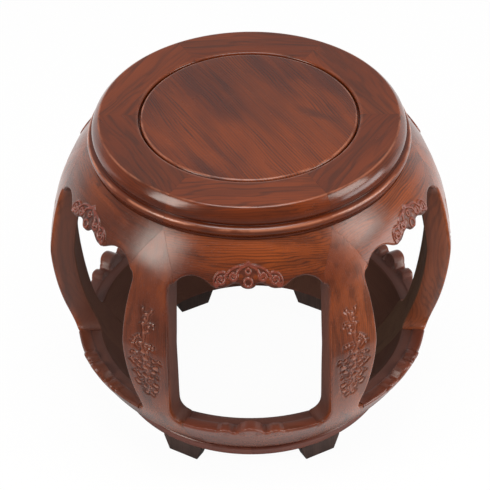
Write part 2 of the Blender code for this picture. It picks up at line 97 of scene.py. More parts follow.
# Angles about the Z axis, and the width of a joint as it shows
SECTOR = 2 * math.pi / LEG_COUNT
LEG_ANGLE = SECTOR / 2
JOINT_LINE = 0.00006
JOINT_GAP_ANGLE = JOINT_LINE / SHOULDER_RADIUS

# Finish: radius of the outer and of the inner rounded arrises, and how far every arris is eased at the least
EDGE_ROUND = 0.0026
INNER_ROUND = 0.0016
ARRIS = 0.00012
# Distances from an arris, in mm, at which the faces are cut finely, and the width of that band
FINE_STEPS = (0.10, 0.30, 0.6, 1.0, 1.5, 2.05)
FINE_BAND = 2.7
# A piece that reaches less than this from its edge to its middle has a narrower band
FULL_REACH = 0.010
# The stretch of a leg that is carved, half its width, and the steps of its mesh
CARVED_LOW = 0.136
CARVED_HIGH = 0.286
CARVED_MARGIN = 0.002
CARVED_HALF_WIDTH = 0.0215
CARVED_STEP = 0.0007
SMOOTH_ANGLE = math.radians(40)
MM = 0.001
SEED = 7

# Lower edge of an upper apron: degrees from the middle, height in mm
HEAD_EDGE = (
    (0.0, 319.0), (0.8, 319.3), (1.5, 320.2), (2.0, 321.4), (2.35, 323.2), (2.7, 324.5), (3.5, 324.6),
    (4.3, 324.2), (5.0, 323.2), (5.9, 321.3), (6.9, 319.5), (8.0, 318.5), (9.2, 318.3), (10.2, 318.9),
    (10.9, 320.2), (11.5, 321.4), (12.4, 323.4), (13.6, 325.6), (15.0, 327.2), (16.5, 327.6), (18.0, 326.9),
    (19.5, 324.9), (20.7, 322.0), (21.6, 318.6), (22.1, 316.2), (22.38, 314.0),
)
# Upper edge of a lower apron, in the same way
SILL_EDGE = (
    (0.0, 110.1), (0.9, 109.8), (1.8, 108.6), (2.7, 106.2), (3.4, 103.6), (4.1, 101.2), (4.8, 99.2),
    (5.4, 99.4), (6.2, 101.6), (7.2, 103.2), (8.4, 103.6), (9.4, 103.0), (10.2, 101.0), (10.9, 99.4),
    (11.9, 98.9), (14.5, 98.8), (18.0, 98.8), (20.4, 99.2), (21.5, 99.8),
)


def barrel_radius(height):
    """Outer radius of the barrel at a height or at many."""
    z = np.asarray(height, float)
    up = np.clip((z - BELLY_LEVEL) / (BARREL_TOP - BELLY_LEVEL), 1e-9, 1.2)
    down = np.clip((BELLY_LEVEL - z) / (BELLY_LEVEL - BARREL_BOTTOM), 1e-9, 1.2)
    above = BELLY_RADIUS - (BELLY_RADIUS - SHOULDER_RADIUS) * up ** (SHOULDER_FULLNESS + SHOULDER_TUCK * up)
    below = BELLY_RADIUS - (BELLY_RADIUS - HIP_RADIUS) * down ** (HIP_FULLNESS + HIP_TUCK * down)
    return np.where(z > BELLY_LEVEL, above, below)


def spots(angle, radius, height):
    """Points at these angles from -Y, distances from the axis and heights."""
    angle, radius, height = np.broadcast_arrays(angle, radius, height)
    return np.stack([radius * np.sin(angle), -radius * np.cos(angle), height], -1)


def skin_normal(angle, height):
    """Unit vectors that point out of the barrel."""
    nudge = 1e-5
    slope = (barrel_radius(height + nudge) - barrel_radius(height - nudge)) / (2 * nudge)
    size = np.sqrt(1 + slope**2)
    flat = spots(angle, 1 / size, 0 * slope)
    flat[..., 2] = -slope / size
    return flat


def half_angle(width):
    """Half the angle that a width takes up on the belly."""
    return width / 2 / BELLY_RADIUS


def quarter_round(share):
    """Rise of a quarter circle, from 0 to 1."""
    return math.sqrt(max(0.0, 1 - (1 - share) ** 2))


def leg_side(height):
    """Half angle of a leg beside the window, widest at the belly."""
    reach = BELLY_LEVEL - SILL_LEVEL
    return half_angle(LEG_WIDTH) - LEG_NARROWING / BELLY_RADIUS * ((height - BELLY_LEVEL) / reach) ** 2


def leg_half_angle(height):
    """Half angle of a leg at any height: straight, then waisted beside the window, then a pointed head."""
    if height <= SILL_LEVEL:
        return half_angle(LEG_SILL_WIDTH)
    if height >= TIP_LEVEL:
        return half_angle(LEG_TIP_WIDTH)
    if height >= HEAD_LEVEL:
        share = (height - HEAD_LEVEL) / (TIP_LEVEL - HEAD_LEVEL)
        tip = half_angle(LEG_TIP_WIDTH)
        return tip + (half_angle(LEG_HEAD_WIDTH) - tip) * (1 - share**SHOULDER_CURVE)
    side = leg_side(height)
    above_sill = (height - SILL_LEVEL) / LOWER_CORNER_HEIGHT
    below_head = (HEAD_LEVEL - height) / UPPER_CORNER_HEIGHT
    for rise, width in ((above_sill, LEG_SILL_WIDTH), (below_head, LEG_HEAD_WIDTH)):
        if rise < 1:
            return half_angle(width) + (side - half_angle(width)) * quarter_round(rise)
    return side


def smooth_curve(table, x):
    """Reads a table of (x, y) along a smooth curve that never overshoots its points."""
    px, py = (np.array(column, float) for column in zip(*table))
    gap = np.diff(px)
    slope = np.diff(py) / gap
    tangent = np.zeros(len(px))
    tangent[0], tangent[-1] = 0.0, slope[-1]
    for i in range(1, len(px) - 1):
        if slope[i - 1] * slope[i] > 0:
            tangent[i] = 2 * slope[i - 1] * slope[i] / (slope[i - 1] + slope[i])
    x = np.clip(x, px[0], px[-1])
    i = np.clip(np.searchsorted(px, x) - 1, 0, len(gap) - 1)
    t = (x - px[i]) / gap[i]
    return (
        py[i] * (1 + 2 * t) * (1 - t) ** 2 + gap[i] * tangent[i] * t * (1 - t) ** 2
        + py[i + 1] * t * t * (3 - 2 * t) + gap[i] * tangent[i + 1] * t * t * (t - 1)
    )


def head_edge(angle):
    return smooth_curve(HEAD_EDGE, np.degrees(np.abs(angle))) * MM


def sill_edge(angle):
    return smooth_curve(SILL_EDGE, np.degrees(np.abs(angle))) * MM


def window_outline():
    """The window's edge on the barrel's outer skin, as points about the middle of the window."""
    low = np.radians(np.linspace(0, SILL_EDGE[-1][0], 120))
    high = np.radians(np.linspace(0, HEAD_EDGE[-1][0], 160))
    rise = np.concatenate([
        SILL_LEVEL + LOWER_CORNER_HEIGHT * np.linspace(0, 1, 30) ** 2,
        np.linspace(SILL_LEVEL + LOWER_CORNER_HEIGHT, HEAD_LEVEL - UPPER_CORNER_HEIGHT, 60)[1:],
        (HEAD_LEVEL - UPPER_CORNER_HEIGHT * np.linspace(1, 0, 24) ** 2)[1:],
    ])
    side = LEG_ANGLE - np.array([leg_half_angle(z) for z in rise])
    angle = np.concatenate([low, side, high[::-1]])
    height = np.concatenate([sill_edge(low), rise, head_edge(high)[::-1]])
    angle = np.concatenate([angle, -angle[::-1]])
    height = np.concatenate([height, height[::-1]])
    return spots(angle, barrel_radius(height), height)


def polyline_distance(points, line):
    """Least distance from each point to a chain of straight pieces."""
    start, run = line[:-1], np.diff(line, axis=0)
    length = np.maximum((run**2).sum(-1), 1e-14)
    best = np.full(len(points), np.inf)
    batch = 4000
    for first in range(0, len(points), batch):
        part = points[first:first + batch, None, :] - start
        t = np.clip((part * run).sum(-1) / length, 0, 1)
        off = part - t[..., None] * run
        best[first:first + batch] = np.sqrt((off**2).sum(-1).min(1))
    return best


def pulled_in(distance, radius):
    """How far a rounded arris falls back at this distance from it."""
    reach = np.clip(radius - distance, 0, radius)
    return radius - np.sqrt(radius**2 - reach**2)


OUTLINE = window_outline()


def edge_fall(points, turn, radius):
    """Fall of the skin towards the edge of the window that is centred on this angle."""
    cos, sin = math.cos(turn), math.sin(turn)
    line = OUTLINE @ np.array([(cos, sin, 0), (-sin, cos, 0), (0, 0, 1)])
    return pulled_in(polyline_distance(points, line), radius)


# Building of meshes


def lofted(name, rings, grain, look, inner=(0, 0), carve=None, inward=None, wear=None):
    """A closed mesh through rings of points, each ring closed, the first and the last filled in.

    The points of a ring from the first to the second number of inner lie inside the barrel, where the wood is
    dull. Carve gives each point's depth in the carving, from -1 in a cut to 1 on a ridge: the finish paints
    shade in the cuts and a highlight on the ridges. Inward says how far it is from the polished outside, from 0
    to 1, and the finish paints shade by it. Wear is 1 on a pale worn arris that also has a painted highlight,
    and -1 where shade is painted into a crease or a piece darkens towards its ends.
    """
    rings = np.asarray(rings, float)
    count, around, _ = rings.shape
    i = np.arange(count - 1)[:, None] * around
    j = np.arange(around)[None, :]
    after = (j + 1) % around
    quads = np.stack([i + j, i + after, i + around + after, i + around + j], -1).reshape(-1, 4)
    faces = quads.tolist()
    faces.append(list(range(around))[::-1])
    faces.append(list(range((count - 1) * around, count * around)))
    mesh = bpy.data.meshes.new(name)
    mesh.from_pydata(rings.reshape(-1, 3).tolist(), [], faces)
    first, last = inner
    column = np.tile(np.arange(around), count - 1)
    dull = np.zeros(len(faces), int)
    dull[: len(column)] = (column >= first) & (column < last)
    mesh.polygons.foreach_set("material_index", dull)
    for layer, values in (("carve", carve), ("inward", inward), ("wear", wear)):
        store(mesh, layer, np.zeros(count * around) if values is None else values)
    return dressed(name, mesh, grain, look)


def placed(name, data):
    """A new object in the scene."""
    obj = bpy.data.objects.new(name, data)
    bpy.context.scene.collection.objects.link(obj)
    return obj


def dressed(name, mesh, grain, look, smooth=SMOOTH_ANGLE):
    """Makes the object: faces turned out, smooth shading, the wood's own coordinates, and its finish."""
    work = bmesh.new()
    work.from_mesh(mesh)
    bmesh.ops.recalc_face_normals(work, faces=work.faces)
    work.to_mesh(mesh)
    work.free()
    mesh.shade_smooth()
    mesh.set_sharp_from_angle(angle=smooth)
    obj = placed(name, mesh)
    set_grain(obj, grain)
    mesh.materials.append(bpy.data.materials[look])
    mesh.materials.append(bpy.data.materials["inside_look"])
    return obj


def store(mesh, name, values, kind="FLOAT"):
    """Gives every point of a mesh its value."""
    layer = mesh.attributes.get(name) or mesh.attributes.new(name, kind, "POINT")
    layer.data.foreach_set("value" if kind == "FLOAT" else "vector", np.asarray(values, float).ravel())


def set_grain(obj, axes, offset=(0.0, 0.0, 0.0), tone=0.0):
    """Stores each point's place in its board: along the grain, then the two ways across it, and its tone."""
    mesh = obj.data
    places = np.zeros(len(mesh.vertices) * 3)
    mesh.vertices.foreach_get("co", places)
    places = places.reshape(-1, 3) @ np.array(axes, float).T + np.array(offset)
    store(mesh, "grain", places, "FLOAT_VECTOR")
    store(mesh, "tone", np.full(len(mesh.vertices), tone))


# How much lighter (up to 1) or darker (down to -1) a board is than the rest
TONES = {
    "leg_1": 0.1, "leg_2": 1.0, "leg_5": -0.2, "leg_6": -0.4, "seat_frame_4": 0.9, "upper_apron_1": -0.05,
    "upper_apron_2": 0.3, "upper_apron_6": -0.6, "lower_apron_2": -0.2, "lower_apron_6": -0.7,
}


def spread(pattern, stem, turns, axes, mirrored=None):
    """Copies of a pattern round the axis, each cut from its own stretch of board, standing for CAD nodes."""
    for number, turn in enumerate(turns, 1):
        node = f"{stem}_{number}"
        source = pattern if number % 2 or not mirrored else mirrored
        piece = placed(f"{node}_wood", source.data.copy())
        set_grain(piece, axes, [chance.uniform(-3, 3) for _ in range(3)], TONES.get(node, 0.0))
        piece.data.transform(Matrix.Rotation(turn, 4, "Z"))
        settle(piece, node)
    for used in filter(None, (pattern, mirrored)):
        bpy.data.objects.remove(used)


def settle(piece, node):
    """Puts a finished piece in the place of its CAD node."""
    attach(piece, "root")
    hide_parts(node)


# Angles of the windows, the aprons and the seat frame's segments, and of the legs, feet and ring segments
WINDOW_TURNS = [SECTOR * number for number in range(LEG_COUNT)]
LEG_TURNS = [LEG_ANGLE + turn for turn in WINDOW_TURNS]
# Which axes run along the grain and across it
ALONG_Z = ((0, 0, 1), (1, 0, 0), (0, 1, 0))
ALONG_X = ((1, 0, 0), (0, 0, 1), (0, 1, 0))
ALONG_Y = ((0, 1, 0), (1, 0, 0), (0, 0, 1))


# Carving, worked out in mm across and mm above the floor


def rounded(near, radius, height):
    """Height of a rounded bump or rib at these distances from its middle."""
    return height * np.sqrt(np.clip(1 - (near / radius) ** 2, 0, 1))


def spot_distance(points, spot):
    """Distance from each point to one spot."""
    return np.hypot(points[:, 0] - spot[0], points[:, 1] - spot[1])


def eased(share):
    """A share from 0 to 1, with soft ends."""
    return share * share * (3 - 2 * share)


def spiral(centre, radius, turns, start, hand, least=0.8):
    """Points of a spiral that winds in from its rim."""
    share = np.linspace(0, 1, 40)
    angle = start + hand * turns * 2 * math.pi * share
    size = radius + (least - radius) * share**0.85
    return np.stack([centre[0] + size * np.cos(angle), centre[1] + size * np.sin(angle)], -1)


def inside_share(points, outline, soft):
    """1 well inside a closed outline, 0 outside it, with a soft step of this width."""
    line = np.asarray(outline, float)
    x, y = points[:, 0][:, None], points[:, 1][:, None]
    x0, y0 = line[:, 0], line[:, 1]
    x1, y1 = np.roll(x0, -1), np.roll(y0, -1)
    crosses = (y0 > y) != (y1 > y)
    run = np.where(np.abs(y1 - y0) < 1e-9, 1e-9, y1 - y0)
    within = (crosses & (x < (x1 - x0) * (y - y0) / run + x0)).sum(1) % 2 == 1
    near = polyline_distance(points, np.vstack([line, line[:1]]))
    signed = np.where(within, near, -near)
    return eased(np.clip(signed / soft + 0.5, 0, 1))


# Crest of an upper apron: mm across from its middle and mm above the floor
CREST_HALF = (
    (0.0, 346.2), (1.6, 344.6), (4.4, 343.2), (8.4, 342.3), (12.6, 341.4), (17.0, 340.0), (20.4, 338.0),
    (22.8, 335.2), (24.0, 334.2), (25.6, 335.4), (29.0, 336.0), (32.6, 335.0), (35.8, 332.4), (37.6, 329.0),
    (38.2, 325.2), (37.4, 321.6), (35.6, 318.0), (35.0, 312.0),
)
# Degrees from the middle within which the crest is cut finely
CREST_END = 11.7
# Radius at which an angle on the upper apron becomes a distance across, in mm
CREST_SCALE = 210.5
# Ribs of the crest's right half: points, half width and height
CREST_RIBS = (
    (np.array(CREST_HALF) - (0.3, 0.9), 1.5, 1.0),
    (np.vstack([[(1.6, 342.0), (6.4, 340.0), (10.4, 337.4), (12.2, 334.0)],
                spiral((16.6, 331.4), 4.9, 1.15, math.radians(150), 1, 1.9)]), 1.5, 1.0),
    (np.vstack([[(23.4, 332.4)], spiral((30.2, 327.6), 5.7, 1.2, math.radians(140), 1, 1.9)]), 1.5, 1.0),
    (spiral((0.0, 325.6), 4.2, 1.0, 0.0, 1, 4.2), 1.4, 1.0),
    (spiral((0.0, 336.2), 2.6, 1.0, 0.0, 1, 2.6), 1.2, 0.9),
)
# Its bumps: middle, radius and height
CREST_DOMES = (
    ((22.6, 327.0), 3.6, 0.6), ((34.2, 321.8), 3.4, 0.9), ((16.6, 331.4), 1.6, 0.7),
    ((30.2, 327.6), 1.8, 0.7), ((8.2, 331.0), 3.0, 0.35), ((0.0, 342.4), 1.8, 0.8),
)


def crest_relief(angle, height):
    """Raised cloud crest: ribs that curl into two scrolls on each side of a hanging boss."""
    points = np.stack([angle * CREST_SCALE, height / MM], -1)
    half = np.stack([np.abs(points[:, 0]), points[:, 1]], -1)
    outline = [*CREST_HALF, (0.0, CREST_HALF[-1][1]), *((-x, y) for x, y in CREST_HALF[::-1])]
    plate = inside_share(points, outline, 1.1)
    ribs = np.zeros(len(half))
    for line, width, high in CREST_RIBS:
        ribs = np.maximum(ribs, rounded(polyline_distance(half, line), width, high))
    for centre, radius, high in CREST_DOMES:
        ribs = np.maximum(ribs, rounded(spot_distance(half, centre), radius, high))
    return (0.25 * plate + 1.25 * (plate * ribs)) * MM, plate * np.clip(1.3 * ribs - 0.55, -1, 0.6)


# Right half of the carved plate on a sill's knob, in the same way
SILL_SCALE = 200.0
SILL_PLATE = (
    (-1, 112), (10, 111), (14, 106), (16, 101), (22, 106), (34, 106), (38, 100), (36, 94), (30, 91.5),
    (22, 92), (14, 94), (8, 91), (-1, 90),
)
SILL_SCROLLS = (
    spiral((27.0, 98.2), 4.6, 1.3, math.radians(100), 1),
    spiral((8.0, 101.6), 4.4, 1.3, math.radians(60), -1),
)
GROOVE_WIDTH = 0.8
KNOB_END = 12.4


def sill_relief(angle, height):
    """Small scrolls on the outer face of the sill's knob."""
    points = np.stack([np.abs(angle) * SILL_SCALE, height / MM], -1)
    body = inside_share(points, SILL_PLATE, 1.2)
    grooves = np.zeros(len(points))
    for scroll in SILL_SCROLLS:
        grooves = np.maximum(grooves, np.exp(-((polyline_distance(points, scroll) / GROOVE_WIDTH) ** 2)))
    return body * (0.7 - 0.8 * grooves) * MM, np.clip(body * (0.1 - 0.5 * grooves), -1, 1)


# Carving of a leg: a branch with single buds high up and dense blossom below
STEM = (
    (2, 150), (-2, 164), (3, 178), (-3, 192), (2, 206), (-2, 218), (3, 230), (-1, 242), (2, 253), (-3, 265),
    (-7, 276),
)
TWIGS = (
    ((-3, 265), (1, 270), (4, 275)), ((1, 258), (-5, 261), (-11, 259)), ((-1, 246), (-4, 250), (-6, 254)),
    ((2, 238), (7, 240), (12, 236)), ((-1, 230), (-7, 232), (-12, 229)), ((1, 222), (8, 226), (13, 231)),
    ((0, 216), (-7, 214), (-13, 209), (-19, 210)), ((0, 208), (7, 211), (14, 207), (17, 201)),
)
BUDS = (
    (-7.6, 277), (4.4, 276.4), (-12, 259), (-6.4, 255.6), (1.2, 263), (0.4, 248), (4.6, 239.6), (-3.6, 249.4),
    (13, 235), (-13, 229), (5, 232), (13.8, 230.4), (-20, 210.4), (17.6, 201), (15, 213), (-4, 222),
    (-2, 270), (2.4, 256.6), (9.4, 237.6), (-8, 231.4), (8.6, 227.6),
)
STEM_HALF_WIDTH, STEM_RISE = 1.8, 0.75
TWIG_HALF_WIDTH, TWIG_RISE = 1.25, 0.65
BUD_RADIUS, BUD_RISE = 2.1, 1.25
# Half the width of the dense part at some heights
BLOSSOM_REACH = (
    (146, 3), (152, 8), (160, 11), (168, 14.5), (182, 16), (198, 16.5), (208, 14), (215, 9), (222, 5),
)
# Its lumps: usual radius, least distance between two in mean radii, and tries
BLOSSOM_LUMPS = ((3.5, 2.3, 70), (2.5, 2.2, 90), (1.5, 2.5, 120))
# Its pits: tries, least distance, smallest and largest radius
BLOSSOM_PITS = (120, 8, 1.4, 3.0)
# How far the ground is cut back beside the relief, how deep, and how much deeper in a pit
GROUND_REACH, GROUND_DEPTH, PIT_DEPTH = 3.0, 1.3, 0.5


def blossom_marks():
    """Places and sizes of the lumps of the dense part, large ones first, and of the pits among them."""
    pick = random.Random(SEED + 4)
    low, high = BLOSSOM_REACH[0][0], BLOSSOM_REACH[-1][0]
    lumps, pits = [], []

    def spot():
        height = pick.uniform(low, high)
        reach = float(np.interp(height, *zip(*BLOSSOM_REACH)))
        return pick.uniform(-reach, reach), height

    for size, least, tries in BLOSSOM_LUMPS:
        for _ in range(tries):
            across, height = spot()
            if all(math.hypot(across - x, height - y) > least * (size + r) / 2 for x, y, r in lumps):
                lumps.append((across, height, size * pick.uniform(0.75, 1.15)))
    tries, least, smallest, largest = BLOSSOM_PITS
    for _ in range(tries):
        across, height = spot()
        if all(math.hypot(across - x, height - y) > least for x, y, _ in pits):
            pits.append((across, height, pick.uniform(smallest, largest)))
    return lumps, pits


def branch_relief(across, height):
    """Blossoming branch in relief, with the ground cut back round it. Both places are in mm."""
    knots = np.stack([
        np.sin(height / 2.3) + 0.6 * np.sin(across / 1.7 + height / 4.1), np.sin(across / 1.9 + height / 6.3),
    ], -1)
    points = np.stack([across, height], -1) + 0.9 * knots
    shape = np.zeros(len(points))
    clear = np.full(len(points), 99.0)

    branches = [(STEM, STEM_HALF_WIDTH, STEM_RISE), *((twig, TWIG_HALF_WIDTH, TWIG_RISE) for twig in TWIGS)]
    lumps, pits = blossom_marks()
    marks = [(polyline_distance(points, np.array(line, float)), *size) for line, *size in branches]
    marks += [(spot_distance(points, bud), BUD_RADIUS, BUD_RISE) for bud in BUDS]
    marks += [(spot_distance(points, (x, y)), radius, 0.65 + 0.22 * radius) for x, y, radius in lumps]
    for near, width, high in marks:
        shape = np.maximum(shape, rounded(near, width, high))
        clear = np.minimum(clear, near - width)
    hollow = np.zeros(len(points))
    for x, y, radius in pits:
        near = np.hypot((points[:, 0] - x) / 0.8, (points[:, 1] - y) / 1.3)
        hollow = np.maximum(hollow, np.clip(1 - (near / radius) ** 2, 0, 1))
    ground = eased(np.clip((GROUND_REACH - clear) / GROUND_REACH, 0, 1))
    shape = shape * (1 - 0.8 * hollow)
    depth = ground * (shape - 0.42 - 0.6 * hollow)
    return (shape - ground * GROUND_DEPTH - PIT_DEPTH * hollow * ground) * MM, np.clip(depth, -1, 1)


# Pieces


def relief_grid(relief, across, height):
    """Rise and depth that a relief gives for a grid of points."""
    return (part.reshape(height.shape) for part in relief(across.ravel(), height.ravel()))


def windows_fall(angle, height, turns, radius):
    """How far the rounded arrises of these windows make the skin fall back at each point."""
    points = spots(angle, barrel_radius(height), height).reshape(-1, 3)
    return np.max([edge_fall(points, turn, radius) for turn in turns], 0).reshape(height.shape)


def outer_skin(angle, height, turns, rise, joints=()):
    """The carved outer face, rounded at the windows and eased in the columns at the joints."""
    fall = windows_fall(angle, height, turns, EDGE_ROUND)
    for column in joints:
        fall[:, column] = np.maximum(fall[:, column], ARRIS)
    return spots(angle, barrel_radius(height), height) + skin_normal(angle, height) * (rise - fall)[..., None]


def inner_skin(angle, height, turns):
    """The plain inner face of the wall, rounded at the windows."""
    fall = windows_fall(angle, height, turns, INNER_ROUND)
    flat = spots(angle, barrel_radius(height) - WALL_THICKNESS, height)
    return flat + skin_normal(angle, height) * fall[..., None]


def between(start, end, shares):
    """Points on the way from one point to another."""
    return [start + (end - start) * share for share in shares]


def outer_marks(depth, width):
    """Carving and inward share of each point, where the outer face comes first in every ring."""
    carve = np.zeros((len(depth), width))
    inward = np.ones(carve.shape)
    carve[:, : depth.shape[1]] = depth
    inward[:, : depth.shape[1]] = 0
    return carve, inward


def edge_steps(reach, close, plain, carved):
    """Distances from an edge to the middle, crowded towards the edge and where the carving is."""
    fine = np.array([0.0, *FINE_STEPS, FINE_BAND]) * MM * close
    margin = max(fine[-1] + 0.15 * (reach - fine[-1]), reach - CARVED_HALF_WIDTH)
    middle = np.linspace(margin, reach, carved + 1)[1:]
    return np.concatenate([fine, np.linspace(fine[-1], margin, plain + 1)[1:], middle])


def make_leg(mirror):
    """A leg at the front, its carving as it is or mirrored."""
    carved = np.arange(CARVED_LOW, CARVED_HIGH, CARVED_STEP)
    low = np.linspace(BARREL_BOTTOM, SILL_LEVEL, 16)[:-1]
    corner = SILL_LEVEL + (CARVED_LOW - SILL_LEVEL) * np.linspace(0, 1, 34)[:-1] ** 1.8
    high = HEAD_LEVEL - (HEAD_LEVEL - CARVED_HIGH) * np.linspace(1, 0, 22)[:-1] ** 1.8
    head = np.linspace(HEAD_LEVEL, TIP_LEVEL, 22)
    heights = np.concatenate([low, corner, carved, high, head, [BARREL_TOP]])
    inner_shares = np.array([-1, -0.985, -0.96, -0.92, -0.8, -0.5, -0.2, 0.2, 0.5, 0.8, 0.92, 0.96, 0.985, 1])
    outer_angle, inner_angle = [], []
    for z in heights:
        half, radius = leg_half_angle(z), float(barrel_radius(z))
        arc = half * radius
        right = (arc - edge_steps(arc, min(1.0, arc / FULL_REACH), 5, 30)) / radius
        outer_angle.append(np.concatenate([-right[:-1], right[::-1]]))
        inner_angle.append(half * inner_shares)
    outer_angle, inner_angle = np.array(outer_angle), np.array(inner_angle)
    around = outer_angle.shape[1]
    outer_z = np.repeat(heights[:, None], around, 1)
    across = outer_angle * BELLY_RADIUS / MM * (-1 if mirror else 1)
    rise, depth = np.zeros(outer_z.shape), np.zeros(outer_z.shape)
    rows = (heights > CARVED_LOW - CARVED_MARGIN) & (heights < CARVED_HIGH + CARVED_MARGIN)
    rise[rows], depth[rows] = relief_grid(branch_relief, across[rows], outer_z[rows] / MM)
    turns = (-LEG_ANGLE, LEG_ANGLE)
    skin = outer_skin(outer_angle, outer_z, turns, rise, (0, -1))
    inside = inner_skin(inner_angle, np.repeat(heights[:, None], inner_angle.shape[1], 1), turns)
    loops = []
    for k in range(len(heights)):
        left = between(inside[k, 0], skin[k, 0], (0.25, 0.5, 0.75))
        right = between(skin[k, -1], inside[k, -1], (0.25, 0.5, 0.75))
        loops.append(np.vstack([skin[k], right, inside[k, ::-1], left]))
    start = around + len(right)
    inner = (start, start + inside.shape[1] - 1)
    return lofted("leg", loops, ALONG_Z, "leg_look", inner, *outer_marks(depth, len(loops[0])))


def make_upper_apron():
    """An upper apron at the front, from joint to joint, with its crest."""
    corner = LEG_ANGLE - half_angle(LEG_HEAD_WIDTH) - JOINT_GAP_ANGLE
    crest = np.radians(np.arange(0, CREST_END, 0.14))
    arch = np.radians(np.linspace(CREST_END, math.degrees(corner), 34))
    joint_z = HEAD_LEVEL + (TIP_LEVEL - HEAD_LEVEL) * np.linspace(0, 1, 22)[1:]
    joint = LEG_ANGLE - np.array([leg_half_angle(z) for z in joint_z]) - JOINT_GAP_ANGLE
    angle = np.concatenate([crest, arch[1:] if crest[-1] >= arch[0] - 1e-6 else arch, joint])
    bottom = np.concatenate([head_edge(angle[: len(angle) - len(joint)]), joint_z])
    angle = np.concatenate([-angle[:0:-1], angle])
    bottom = np.concatenate([bottom[:0:-1], bottom])
    reach = BARREL_TOP - bottom
    shares = np.concatenate([np.linspace(0, 0.62, 50), np.linspace(0.62, 1, 9)[1:]])
    fine = np.array(FINE_STEPS) * MM
    columns = []
    for low, high in zip(bottom, reach):
        close = min(1.0, high / FULL_REACH)
        start = FINE_BAND * MM * close
        columns.append(np.concatenate([[low], low + fine * close, low + start + (high - start) * shares]))
    outer_z = np.array(columns)
    outer_angle = np.repeat(angle[:, None], outer_z.shape[1], 1)
    rise, depth = relief_grid(crest_relief, outer_angle, outer_z)
    skin = outer_skin(outer_angle, outer_z, (0.0,), rise, (0,))
    inner_share = np.array([0, 0.008, 0.03, 0.07, 0.15, 0.3, 0.6, 1.0])
    inner_z = bottom[:, None] + reach[:, None] * inner_share
    inside = inner_skin(np.repeat(angle[:, None], inner_z.shape[1], 1), inner_z, (0.0,))
    loops = []
    for k in range(len(angle)):
        under = between(inside[k, 0], skin[k, 0], (0.2, 0.5, 0.8))
        loops.append(np.vstack([skin[k], inside[k, ::-1], under]))
    start = outer_z.shape[1]
    carve, inward = outer_marks(depth, len(loops[0]))
    # the apron's colour darkens towards both ends
    darker_ends = np.zeros(carve.shape)
    darker_ends[:, :start] = -0.45 * np.clip((np.degrees(np.abs(outer_angle)) - 5) / 12, 0, 1)
    inner = (start, start + inside.shape[1] - 1)
    return lofted("upper_apron", loops, ALONG_X, "apron_look", inner, carve, inward, darker_ends)


# Section of a lower apron's ledge behind its lip: how far in, and mm above the lip
LIP_STEPS = ((0.0015, 0.2), (0.004, 0.35), (0.008, 0.2))
LEDGE_DEPTH = 0.0125
LEDGE_ROUND = 0.0012
# How far inward each point of the ledge counts, which paints shade on it
LEDGE_SHARES = (0.15, 0.3, 0.5, 0.7, 0.9, 1, 1, 1, 1, 1)


def make_lower_apron():
    """A lower apron at the front: a face with a knobbed lip, a ledge behind it, and the low sill inside."""
    end = LEG_ANGLE - half_angle(LEG_SILL_WIDTH) - JOINT_GAP_ANGLE
    angle = np.concatenate([
        np.radians(np.arange(0, KNOB_END, 0.2)), np.linspace(math.radians(KNOB_END), end, 24),
    ])
    angle = np.concatenate([-angle[:0:-1], angle])
    top = sill_edge(angle)
    flat_level = SILL_LEVEL - SILL_FALL
    shares = np.linspace(0, 1, 26) ** 1.5
    fine = np.array([0.0, *FINE_STEPS]) * MM
    below = (top - FINE_BAND * MM)[:, None]
    outer_z = np.hstack([top[:, None] - fine, below - (below - BARREL_BOTTOM) * shares])
    outer_angle = np.repeat(angle[:, None], outer_z.shape[1], 1)
    rise, depth = relief_grid(sill_relief, outer_angle, outer_z)
    skin = outer_skin(outer_angle, outer_z, (0.0,), rise)
    inner_edge = float(barrel_radius(flat_level)) - WALL_THICKNESS
    inner_z = flat_level - (flat_level - BARREL_BOTTOM) * np.array([0.0, 0.01, 0.03, 0.08, 0.3, 0.65, 1.0])
    inner_in = np.array([1, 0.45, 0.1, 0, 0, 0, 0]) * INNER_ROUND
    inner_radius = barrel_radius(inner_z) - WALL_THICKNESS + inner_in
    loops = []
    for k, a in enumerate(angle):
        lip = np.hypot(skin[k, 0, 0], skin[k, 0, 1])
        high = skin[k, 0, 2]
        rise_here = max(0.0, high - flat_level)
        ledge = lip - (LEDGE_DEPTH + 0.2 * rise_here)
        foot = ledge - LEDGE_ROUND - 0.25 * rise_here
        deep = [
            *((lip - back, high + up * MM) for back, up in LIP_STEPS),
            (ledge + LEDGE_ROUND, high), (ledge + 0.0004, high - 0.12 * rise_here),
            (ledge - 0.0002, flat_level + 0.6 * rise_here),
            ((ledge + foot) / 2, flat_level + 0.25 * rise_here),
            (foot, flat_level), (foot - 0.002, flat_level), ((foot + inner_edge) / 2, flat_level),
        ]
        shelf = spots(a, *np.array(deep).T)
        inside = spots(a, inner_radius, inner_z)
        loops.append(np.vstack([skin[k, ::-1], shelf, inside]))
    start = outer_z.shape[1] + len(deep)
    carve, inward = outer_marks(depth[:, ::-1], len(loops[0]))
    inward[:, outer_z.shape[1]:start] = LEDGE_SHARES
    inner = (start, start + len(inner_z) - 1)
    return lofted("lower_apron", loops, ALONG_X, "sill_look", inner, carve, inward)
